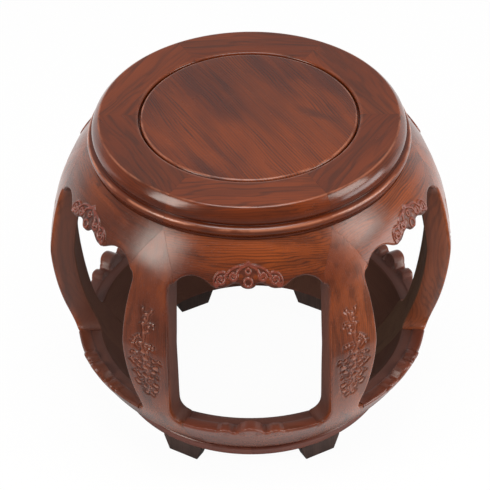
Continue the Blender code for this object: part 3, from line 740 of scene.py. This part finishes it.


# Section of the seat frame, in mm: radius and height, from the panel's groove over the top to the underside,
# and wear: 1 where an arris is pale from wear and a painted highlight, -1 where shade is painted into a crease
FRAME_SECTION = (
    (127, 392.4, 0), (127, 397.6, 0), (127.2, 398.5, 0), (127.7, 399.2, 0), (128.5, 399.7, 0.2),
    (129.6, 399.93, 0.2), (131, 400, 0), (145, 400, 0), (158, 400, 0), (168, 400, 0),
    (171.2, 400, 0), (172, 399.93, 0.4), (172.8, 399.7, 0.6), (173.5, 399.3, 0.4), (174.2, 398.7, 0),
    (175.6, 397.2, -0.1), (177.1, 395.4, -0.2), (178.5, 393.4, -0.2), (179.7, 391.2, -0.3), (180.6, 388.9, -0.4),
    (181.1, 386.6, -0.5), (181.2, 384.6, -0.6), (181, 382.9, -0.7), (180.5, 381.3, -0.8), (179.95, 380.1, -1),
    (179.6, 379.4, -1), (180.1, 378.9, -1), (181.5, 378.75, -0.6), (182.9, 378.6, -0.3), (184.4, 378, 0.2),
    (185.1, 377.5, 0.8), (185.7, 376.9, 1), (186.1, 376.2, 0.8), (186.5, 375.3, 0.2), (186.8, 373.4, 0),
    (186.6, 371.4, -0.2), (186, 369.6, -0.5), (185.1, 368.1, -0.7), (184.2, 367, -0.8), (183.5, 366.2, -1),
    (183.3, 365.2, -1), (183.3, 363, -1), (170, 363, 0), (150, 363, 0), (127, 363, 0),
    (127, 383.7, 0), (133.3, 383.7, 0), (133.3, 392.4, 0),
)


def swept(name, section, reach, steps, gap_radius, axes, look):
    """A stretch of a turned ring, from one joint to the next, with its section swept round."""
    edge = reach - JOINT_LINE / gap_radius / 2
    angles = np.linspace(-edge, edge, steps + 1)
    section = np.array(section)
    loops = [spots(a, section[:, 0] * MM, section[:, 1] * MM) for a in angles]
    wear = np.tile(section[:, 2], (len(angles), 1)) if section.shape[1] > 2 else None
    return lofted(name, loops, axes, look, wear=wear)


# Rounded edge of the seat panel, in mm: back from its rim, and down from its face
PANEL_EDGE = ((4.6, 0), (3.5, 0.08), (2.5, 0.35), (1.6, 0.8), (0.85, 1.5), (0.3, 2.4), (0, 3.6), (0, 8))
PANEL_STEPS = 192


def make_seat():
    """The seat frame's six segments, and the panel that floats in them."""
    pattern = swept("frame", FRAME_SECTION, LEG_ANGLE, 40, FRAME_INNER_RADIUS, ALONG_X, "frame_look")
    spread(pattern, "seat_frame", WINDOW_TURNS, ALONG_X)
    radius, top = (FRAME_INNER_RADIUS - PANEL_REVEAL) / MM, SEAT_HEIGHT / MM
    edge = [(radius - back, top - drop) for back, drop in PANEL_EDGE]
    section = [*((r, top) for r in (0, 40, 80, 110)), *edge, (133, 392), (133, 384), (0, 384)]
    merge = 0.00003
    mesh = bmesh.new()
    points = [mesh.verts.new((r * MM, 0, z * MM)) for r, z in section]
    edges = [mesh.edges.new(pair) for pair in zip(points, points[1:])]
    bmesh.ops.spin(mesh, geom=[*points, *edges], cent=(0, 0, 0), axis=(0, 0, 1), angle=2 * math.pi,
                   steps=PANEL_STEPS, use_merge=True)
    bmesh.ops.remove_doubles(mesh, verts=mesh.verts, dist=merge)
    bmesh.ops.dissolve_degenerate(mesh, edges=mesh.edges, dist=merge)
    data = bpy.data.meshes.new("seat_panel_wood")
    mesh.to_mesh(data)
    mesh.free()
    away = [math.hypot(v.co.x, v.co.y) / MM - radius for v in data.vertices]
    # a pale band just inside the panel's rim: wear, with a painted highlight
    store(data, "wear", np.interp(away, (-3.4, -2.5, -1.6, -0.8), (0.0, 0.7, 0.7, 0.0)))
    panel = dressed("seat_panel_wood", data, ALONG_Y, "panel_look")
    set_grain(panel, ALONG_Y, PANEL_BOARD)
    panel.data.transform(Matrix.Rotation(PANEL_TURN, 4, "Z"))
    settle(panel, "seat_panel")


# Section of the base ring, in mm: radius and height
RING_SECTION = (
    (148.0, 22.3), (148.0, 32.9), (148.5, 33.5), (164.6, 33.5), (166.4, 33.2), (167.8, 32.2), (168.5, 30.6),
    (168.7, 28.6), (168.7, 25.0), (168.3, 23.4), (167.4, 22.5), (166.4, 22.3),
)


def make_ring():
    pattern = swept("ring", RING_SECTION, LEG_ANGLE, 36, RING_INNER_RADIUS, ALONG_X, "ring_look")
    spread(pattern, "base_ring", LEG_TURNS, ALONG_X)


def make_feet():
    """The six feet: blocks that taper downwards."""
    outer = RING_RADIUS - FOOT_SETBACK
    top = (outer - FOOT_TOP_DEPTH / 2, FOOT_TOP_WIDTH, FOOT_TOP_DEPTH, FOOT_HEIGHT)
    bottom = (outer - FOOT_LEAN - FOOT_BOTTOM_DEPTH / 2, FOOT_BOTTOM_WIDTH, FOOT_BOTTOM_DEPTH, 0.0)
    mesh = bmesh.new()
    bmesh.ops.create_cube(mesh, size=2.0)
    for corner in mesh.verts:
        middle, width, depth, height = top if corner.co.z > 0 else bottom
        corner.co = Vector((corner.co.x * width / 2, corner.co.y * depth / 2 - middle, height))
    bmesh.ops.bevel(mesh, geom=list(mesh.edges), offset=0.0012, segments=3, profile=0.5, affect="EDGES")
    data = bpy.data.meshes.new("foot")
    mesh.to_mesh(data)
    mesh.free()
    pattern = dressed("foot", data, ALONG_Z, "foot_look", math.radians(30))
    spread(pattern, "foot", LEG_TURNS, ALONG_Z)


# Wood


class Graph:
    """Short words for the nodes of one material, or of the world."""

    def __init__(self, owner):
        owner.use_nodes = True
        self.tree = owner.node_tree
        self.shader = self.tree.nodes.get("Principled BSDF")

    def add(self, kind, inputs=(), **settings):
        made = self.tree.nodes.new(kind)
        for key, value in settings.items():
            setattr(made, key, value)
        for key, source in dict(inputs).items():
            self.link(source, made.inputs[key])
        return made

    def link(self, source, target):
        if hasattr(source, "is_output"):
            self.tree.links.new(source, target)
        else:
            target.default_value = source

    def attribute(self, name, kind="Fac"):
        return self.add("ShaderNodeAttribute", attribute_name=name).outputs[kind]

    def maths(self, operation, a, b=0.0, clamp=False):
        return self.add("ShaderNodeMath", {0: a, 1: b}, operation=operation, use_clamp=clamp).outputs[0]

    def times(self, a, b):
        return self.maths("MULTIPLY", a, b)

    def plus(self, a, b, clamp=False):
        return self.maths("ADD", a, b, clamp)

    def vector(self, operation, a, b):
        return self.add("ShaderNodeVectorMath", {0: a, 1: b}, operation=operation).outputs[0]

    def noise(self, place, scale, detail=3.0, rough=0.55, stretch=(1, 1, 1), colour=False):
        inputs = {"Scale": scale, "Detail": detail, "Roughness": rough}
        made = self.add("ShaderNodeTexNoise", inputs, noise_dimensions="3D")
        self.link(self.vector("MULTIPLY", place, stretch), made.inputs["Vector"])
        return made.outputs["Color" if colour else "Fac"]

    def step(self, value, low, high, out_low=0.0, out_high=1.0):
        inputs = {"Value": value, "From Min": low, "From Max": high, "To Min": out_low, "To Max": out_high}
        return self.add("ShaderNodeMapRange", inputs, interpolation_type="SMOOTHSTEP").outputs[0]

    def mix(self, share, a, b):
        return self.add("ShaderNodeMix", {0: share, 6: a, 7: b}, data_type="RGBA").outputs[2]


def colour(red, green, blue):
    """A colour written as it looks on screen, from 0 to 255."""
    def linear(value):
        value /= 255
        return value / 12.92 if value <= 0.04045 else ((value + 0.055) / 1.055) ** 2.4
    return (linear(red), linear(green), linear(blue), 1.0)


# Colours that all the polished wood shares, most of them painted light or shade
# pale colour of worn arrises, which also serves as a painted highlight
PALE_WEAR_AND_HIGHLIGHT = colour(186, 120, 92)
# painted shade in creases, also used to darken some upper aprons towards their ends
CREASE_AND_END_DARKENING = colour(62, 22, 11)
# painted glint on the tops of the highest carved lumps
PAINTED_GLINT = colour(176, 132, 112)
# painted shade on the faces inside and beside the windows
SHADED_SIDE = colour(80, 49, 41)

# Broad marks of the seat panel's figure: middle along the grain and across it, half length, half width, all in
# mm, turn in degrees, and strength, which is dark above 0 and light below it
PANEL_FIGURE = (
    (35, 40, 120, 55, -16, 0.3),
    (67, 5, 50, 4, 0, 0.8), (-42, 68, 36, 10, -31, 0.85), (58, 48, 58, 6, -16, 0.5),
    (-86, 20, 26, 5, -8, 0.35), (5, 82, 30, 13, -8, -0.9), (-22, -90, 84, 17, -16, -0.8),
    (10, -52, 40, 4, -6, 0.3),
)
# Where the panel lies in its board, in metres
PANEL_BOARD = (0.31, -0.052, 0.12)


def figure_shares(g, place, figure):
    """How dark and how light the broad marks make each point, from 0 to 1."""
    shares = {True: 0.0, False: 0.0}
    for along, across, length, width, turn, strength in figure:
        mark = g.add("ShaderNodeMapping", vector_type="TEXTURE", inputs={
            "Vector": place, "Rotation": (0.0, 0.0, math.radians(turn)),
            "Scale": (length * MM, width * MM, 1000.0),
            "Location": (along * MM + PANEL_BOARD[0], across * MM + PANEL_BOARD[1], 0.0),
        })
        near = g.add("ShaderNodeVectorMath", {0: mark.outputs[0]}, operation="LENGTH")
        share = g.step(near.outputs["Value"], 1.25, 0.25, 0.0, abs(strength))
        shares[strength > 0] = g.maths("MAXIMUM", shares[strength > 0], share)
    return shares[True], shares[False]


def rosewood(name, middle, light, dark, gloss=0.25, specular=0.5, spacing=0.0022, lines=0.5, streaks=0.4,
             clouds=0.3, waviness=48.0, breadth=85.0, figure=(), pitted=1.0, cut=(48, 24, 19),
             ridge=(120, 78, 63), spare=(-9.0, -8.0)):
    """Polished rosewood: growth lines and longer streaks along the grain, patches, pores and a waxed gloss.

    Spacing is the usual distance between growth lines, in metres. Figure lists broad marks at set places. Cut
    is painted shade in the low parts of a carving and ridge a painted highlight on its high parts; the highest
    lumps get painted glints too. Pitted is how clearly the pores show. Spare is the range of board tones over
    which the painted crease shade and the darker ends set in: darker boards have none. Pale arrises mix wear
    with a painted highlight, and the faces inside get painted shade.
    """
    g = Graph(bpy.data.materials.new(name))
    middle, light, dark, cut, ridge = (colour(*shade) for shade in (middle, light, dark, cut, ridge))
    place = g.attribute("grain", "Vector")
    # the wear layer is above 0 on pale worn arrises with a painted highlight, and below 0 where shade is painted
    # into creases or ends are darkened
    carve, inward, board, wear_highlight_and_shade = (g.attribute(layer) for layer in ("carve", "inward", "tone", "wear"))
    warp = g.noise(place, 9.0, 2.0, 0.5, (0.6, 1, 1), colour=True)
    warp = g.vector("SUBTRACT", warp, (0.5, 0.5, 0.5))
    warped = g.vector("ADD", place, g.vector("MULTIPLY", warp, (0.0, 0.016, 0.016)))
    patch = g.noise(place, 11.0, 2.0, 0.5, (0.5, 1, 1))
    cloud = g.noise(warped, 22.0, 3.0, 0.55, (0.14, 1, 1))
    streak = g.noise(warped, breadth, 3.0, 0.6, (0.05, 1, 1))
    hair = g.noise(warped, 900.0, 2.0, 0.6, (0.02, 1, 1))
    bend = g.noise(place, 26.0, 3.0, 0.55, (0.16, 1, 1))
    parts = g.add("ShaderNodeSeparateXYZ", {0: warped})
    turns = 2 * math.pi / spacing
    phase = g.plus(g.times(parts.outputs["Y"], turns * 0.95), g.times(parts.outputs["Z"], turns * 0.3))
    phase = g.plus(phase, g.times(bend, waviness))
    growth = g.maths("SINE", phase)
    faint = g.step(streak, 0.30, 0.60, 0.25, 1.0)
    patch = g.plus(patch, g.times(board, 0.12))
    layers = [
        (g.step(patch, 0.36, 0.66), light), (g.step(board, 0.0, -1.0, 0.0, 0.6), dark),
        (g.step(cloud, 0.50, 0.70, 0.0, clouds), dark),
    ]
    if figure:
        wander = g.noise(place, 30.0, 4.0, 0.65, (0.5, 1, 1), colour=True)
        wander = g.vector("SUBTRACT", wander, (0.5, 0.5, 0.5))
        wander = g.vector("MULTIPLY", wander, (0.05, 0.022, 0.0))
        shaded, lightened = figure_shares(g, g.vector("ADD", place, wander), figure)
        ragged = g.step(streak, 0.62, 0.36, 0.45, 1.0)
        layers += [(g.times(g.times(shaded, ragged), 0.85), dark), (g.times(lightened, 0.8), light)]
    pores = g.step(hair, 0.56, 0.70, 0.0, pitted)
    deep = tuple(c * 0.35 for c in dark[:3]) + (1.0,)
    broken = g.step(g.noise(place, 70.0, 3.0, 0.6, (0.4, 1, 1)), 0.36, 0.62, 0.1, 1.0)
    pale = g.times(g.maths("MAXIMUM", wear_highlight_and_shade, 0.0), broken)
    layers += [
        (g.step(streak, 0.48, 0.66, 0.0, streaks), dark), (g.step(streak, 0.46, 0.30, 0.0, 0.3), light),
        (g.times(g.step(growth, -0.1, 1.0, 0.0, lines), faint), dark), (g.times(pores, 0.3), deep),
        # painted shade in the cuts of a carving, and a painted highlight on its ridges
        (g.step(carve, 0.0, -0.9, 0.0, 0.75), cut), (g.step(carve, 0.05, 0.5, 0.0, 0.6), ridge),
        # painted glints on the highest lumps of a carving
        (g.times(g.step(carve, 0.62, 0.9, 0.0, 0.45), g.step(patch, 0.40, 0.62, 0.3, 1.0)), PAINTED_GLINT),
        # pale worn arrises, with a painted highlight
        (g.times(pale, 0.65), PALE_WEAR_AND_HIGHLIGHT),
        # painted shade in creases, and darker ends on the upper aprons
        (g.times(g.step(wear_highlight_and_shade, 0.0, -1.0, 0.0, 0.6), g.step(board, *spare)), CREASE_AND_END_DARKENING),
        # painted shade on the inner faces, weaker on lighter boards
        (g.times(inward, g.step(board, 0.2, 1.0, 0.7, 0.1)), SHADED_SIDE),
    ]
    tone = middle
    for share, over in layers:
        tone = g.mix(share, tone, over)
    g.link(tone, g.shader.inputs["Base Color"])
    wear = g.noise(place, 30.0, 3.0, 0.6)
    rough = g.plus(g.step(wear, 0.3, 0.7, gloss - 0.03, gloss + 0.04), g.times(pores, 0.06))
    rough = g.plus(rough, g.step(carve, 0.0, -0.8, 0.0, 0.15))
    rough = g.plus(rough, g.times(inward, 0.28), clamp=True)
    g.link(rough, g.shader.inputs["Roughness"])
    g.shader.inputs["Specular IOR Level"].default_value = specular
    relief = g.maths("SUBTRACT", g.times(growth, 0.12), g.times(pores, 0.5))
    bump = g.add("ShaderNodeBump", {"Strength": 0.03, "Distance": 0.0003, "Height": relief})
    g.link(bump.outputs[0], g.shader.inputs["Normal"])


def hidden_wood():
    """Unpolished wood of the battens and keys."""
    g = Graph(bpy.data.materials.new("inner_look"))
    place = g.add("ShaderNodeTexCoord").outputs["Object"]
    turned = g.add("ShaderNodeMapping", {"Vector": place, "Rotation": (0.0, 0.0, -PANEL_TURN)})
    fine = g.noise(turned.outputs[0], 110.0, 4.0, 0.6, (0.06, 1, 1))
    tone = g.mix(g.step(fine, 0.35, 0.68), colour(112, 72, 50), colour(70, 44, 34))
    g.link(tone, g.shader.inputs["Base Color"])
    g.link(g.step(fine, 0.3, 0.7, 0.5, 0.68), g.shader.inputs["Roughness"])


def make_looks():
    dark = (58, 26, 14)
    # cut and ridge give each look its painted shade for carved cuts and painted highlight for ridges
    rosewood("leg_look", (108, 49, 26), (138, 67, 30), dark, lines=0.35, streaks=0.5, clouds=0.15,
             cut=(70, 33, 22), ridge=(134, 80, 62))
    rosewood("apron_look", (97, 41, 18), (136, 63, 23), dark, lines=0.7, streaks=0.45, spacing=0.0026,
             waviness=70.0, clouds=0.25, cut=(50, 16, 14), ridge=(122, 60, 50), spare=(-0.7, -0.1))
    rosewood("sill_look", (110, 55, 39), (126, 67, 45), dark, lines=0.2, streaks=0.3, clouds=0.15,
             pitted=0.1, cut=(62, 31, 23), ridge=(118, 66, 50))
    rosewood("frame_look", (94, 38, 13), (112, 48, 17), dark, lines=0.45, streaks=0.4, spacing=0.0028,
             clouds=0.35, gloss=0.19)
    rosewood("panel_look", (86, 36, 18), (122, 54, 19), (50, 27, 24), lines=0.75, streaks=0.25,
             clouds=0.1, spacing=0.0029, waviness=34.0, breadth=130.0, figure=PANEL_FIGURE)
    rosewood("ring_look", (102, 54, 43), (114, 62, 48), dark, lines=0.2, streaks=0.2, clouds=0.15, pitted=0.3)
    rosewood("foot_look", (70, 54, 50), (80, 62, 57), (44, 36, 33), gloss=0.5, specular=0.2)
    rosewood("inside_look", (96, 72, 58), (106, 80, 64), (70, 53, 44), gloss=0.6, specular=0.15)
    hidden_wood()


# Studio


# Soft boxes: degrees about the axis and above the floor, distance, width and height, power and tint
LAMPS = {
    "left_box": (-56, 27.5, 1.9, (0.64, 1.02), 19, (1, 0.93, 0.85)),
    "right_box": (73, 31, 1.9, (0.74, 0.74), 13, (1, 0.95, 0.89)),
    "top_box": (-4, 80, 2.1, (1.3, 1.1), 26, (1, 1, 1)),
    "right_fill": (80, 3, 2.3, (1.4, 0.9), 20, (1, 1, 1)),
}
# What the lamps look at, the light of the room on matt surfaces, where white is 1, and half the floor's width
LAMP_AIM = Vector((0, 0, 0.25))
ROOM_LIGHT = 0.38
FLOOR_REACH = 6.0


def towards(azimuth, elevation):
    """Unit vector from the stool, at these degrees about the axis and above the floor."""
    a, e = math.radians(azimuth), math.radians(elevation)
    return Vector((math.sin(a) * math.cos(e), -math.cos(a) * math.cos(e), math.sin(e)))


def area_light(name, azimuth, elevation, distance, size, power, tint):
    """A soft box that looks at the middle of the stool."""
    data = bpy.data.lights.new(name, "AREA")
    data.shape = "RECTANGLE"
    data.size, data.size_y = size
    data.energy = power
    data.color = tint
    lamp = placed(name, data)
    lamp.location = LAMP_AIM + distance * towards(azimuth, elevation)
    lamp.rotation_euler = (LAMP_AIM - lamp.location).to_track_quat("-Z", "Y").to_euler()


def make_floor():
    """A pale floor, white to the camera, that takes shadows.

    The wood mirrors a bright pool of it round the stool, brighter on the right, and all of it behind.
    """
    material = bpy.data.materials.new("floor_look")
    g = Graph(material)
    matt = {"Base Color": (0.85, 0.85, 0.85, 1.0), "Roughness": 0.9, "Specular IOR Level": 0.0}
    for key, value in matt.items():
        g.shader.inputs[key].default_value = value
    rays = g.add("ShaderNodeLightPath")
    place = g.add("ShaderNodeNewGeometry").outputs["Position"]
    away = g.add("ShaderNodeVectorMath", {0: place}, operation="LENGTH").outputs["Value"]
    pool = g.times(g.step(away, 0.165, 0.215), g.step(away, 0.34, 0.66, 1.0, 0.0))
    parts = g.add("ShaderNodeSeparateXYZ", {0: place})
    sideways = g.step(parts.outputs["X"], -0.2, 0.25, 0.46, 0.82)
    mirrored = g.plus(g.times(pool, sideways), 0.2)
    mirrored = g.maths("MAXIMUM", mirrored, g.step(parts.outputs["Y"], 0.10, 0.35, 0.0, 1.2))
    dimming = g.times(rays.outputs["Is Glossy Ray"], g.maths("SUBTRACT", 1.0, mirrored))
    strength = g.maths("SUBTRACT", 1.0, dimming)
    white = g.add("ShaderNodeEmission", {"Color": (1, 1, 1, 1), "Strength": strength})
    seen = g.maths("MAXIMUM", rays.outputs["Is Camera Ray"], rays.outputs["Is Transmission Ray"])
    seen = g.maths("MAXIMUM", seen, rays.outputs["Is Glossy Ray"])
    share = g.times(seen, 0.96)
    blend = g.add("ShaderNodeMixShader", {0: share, 1: g.shader.outputs[0], 2: white.outputs[0]})
    g.link(blend.outputs[0], g.tree.nodes["Material Output"].inputs["Surface"])
    mesh = bpy.data.meshes.new("floor")
    corners = [(x * FLOOR_REACH, y * FLOOR_REACH, 0) for x, y in ((-1, -1), (1, -1), (1, 1), (-1, 1))]
    mesh.from_pydata(corners, [], [(0, 1, 2, 3)])
    mesh.materials.append(material)
    floor = placed("floor", mesh)


def make_world():
    """Soft room light, white where it is seen. Gloss mirrors it dimmer in front than behind, and brightest low
    down behind the stool, where it lights the rims of the shoulders."""
    world = bpy.data.worlds.new("studio")
    g = Graph(world)
    back = g.tree.nodes["Background"]
    back.inputs["Color"].default_value = (1, 1, 1, 1)
    rays = g.add("ShaderNodeLightPath")
    parts = g.add("ShaderNodeSeparateXYZ", {0: g.add("ShaderNodeTexCoord").outputs["Generated"]})
    rim = g.times(g.step(parts.outputs["Y"], 0.3, 0.7), g.step(parts.outputs["Z"], 0.15, 0.4, 1.2, 0.0))
    mirrored = g.maths("MAXIMUM", g.step(parts.outputs["Y"], -0.5, 0.6, 0.12, 0.5), rim)
    white = g.maths("MAXIMUM", rays.outputs["Is Camera Ray"], rays.outputs["Is Transmission Ray"])
    strength = g.plus(ROOM_LIGHT, g.times(white, 1.0 - ROOM_LIGHT))
    gloss = g.times(rays.outputs["Is Glossy Ray"], g.maths("SUBTRACT", mirrored, ROOM_LIGHT))
    g.link(g.plus(strength, gloss), back.inputs["Strength"])
    bpy.context.scene.world = world


def make_camera():
    """The photograph's view: the aim point is on the axis, half way up the stool."""
    picture, focal = 490.0, 2252.4
    distance, elevation, azimuth, roll = 2.7062, 38.82, 0.92, math.radians(-0.79)
    aside, down = 5.84, 5.51
    data = bpy.data.cameras.new("camera")
    data.sensor_width = 36.0
    data.lens = focal / picture * data.sensor_width
    data.shift_x = -aside / picture
    data.shift_y = down / picture
    camera = placed("camera", data)
    target = Vector((0, 0, SEAT_HEIGHT / 2))
    away = towards(azimuth, elevation)
    camera.location = target + distance * away
    turn = (-away).to_track_quat("-Z", "Y").to_matrix() @ Matrix.Rotation(roll, 3, "Z")
    camera.rotation_euler = turn.to_euler()
    bpy.context.scene.camera = camera


chance = random.Random(SEED)
make_looks()
spread(make_leg(False), "leg", LEG_TURNS, ALONG_Z, make_leg(True))
spread(make_upper_apron(), "upper_apron", WINDOW_TURNS, ALONG_X)
spread(make_lower_apron(), "lower_apron", WINDOW_TURNS, ALONG_X)
make_seat()
make_ring()
make_feet()
for name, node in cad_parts.items():
    if name.startswith(("seat_batten", "frame_key", "ring_key")):
        node.data.materials.clear()
        node.data.materials.append(bpy.data.materials["inner_look"])
for name, settings in LAMPS.items():
    area_light(name, *settings)
make_floor()
make_world()
make_camera()

bpy.context.scene.view_settings.view_transform = "Standard"
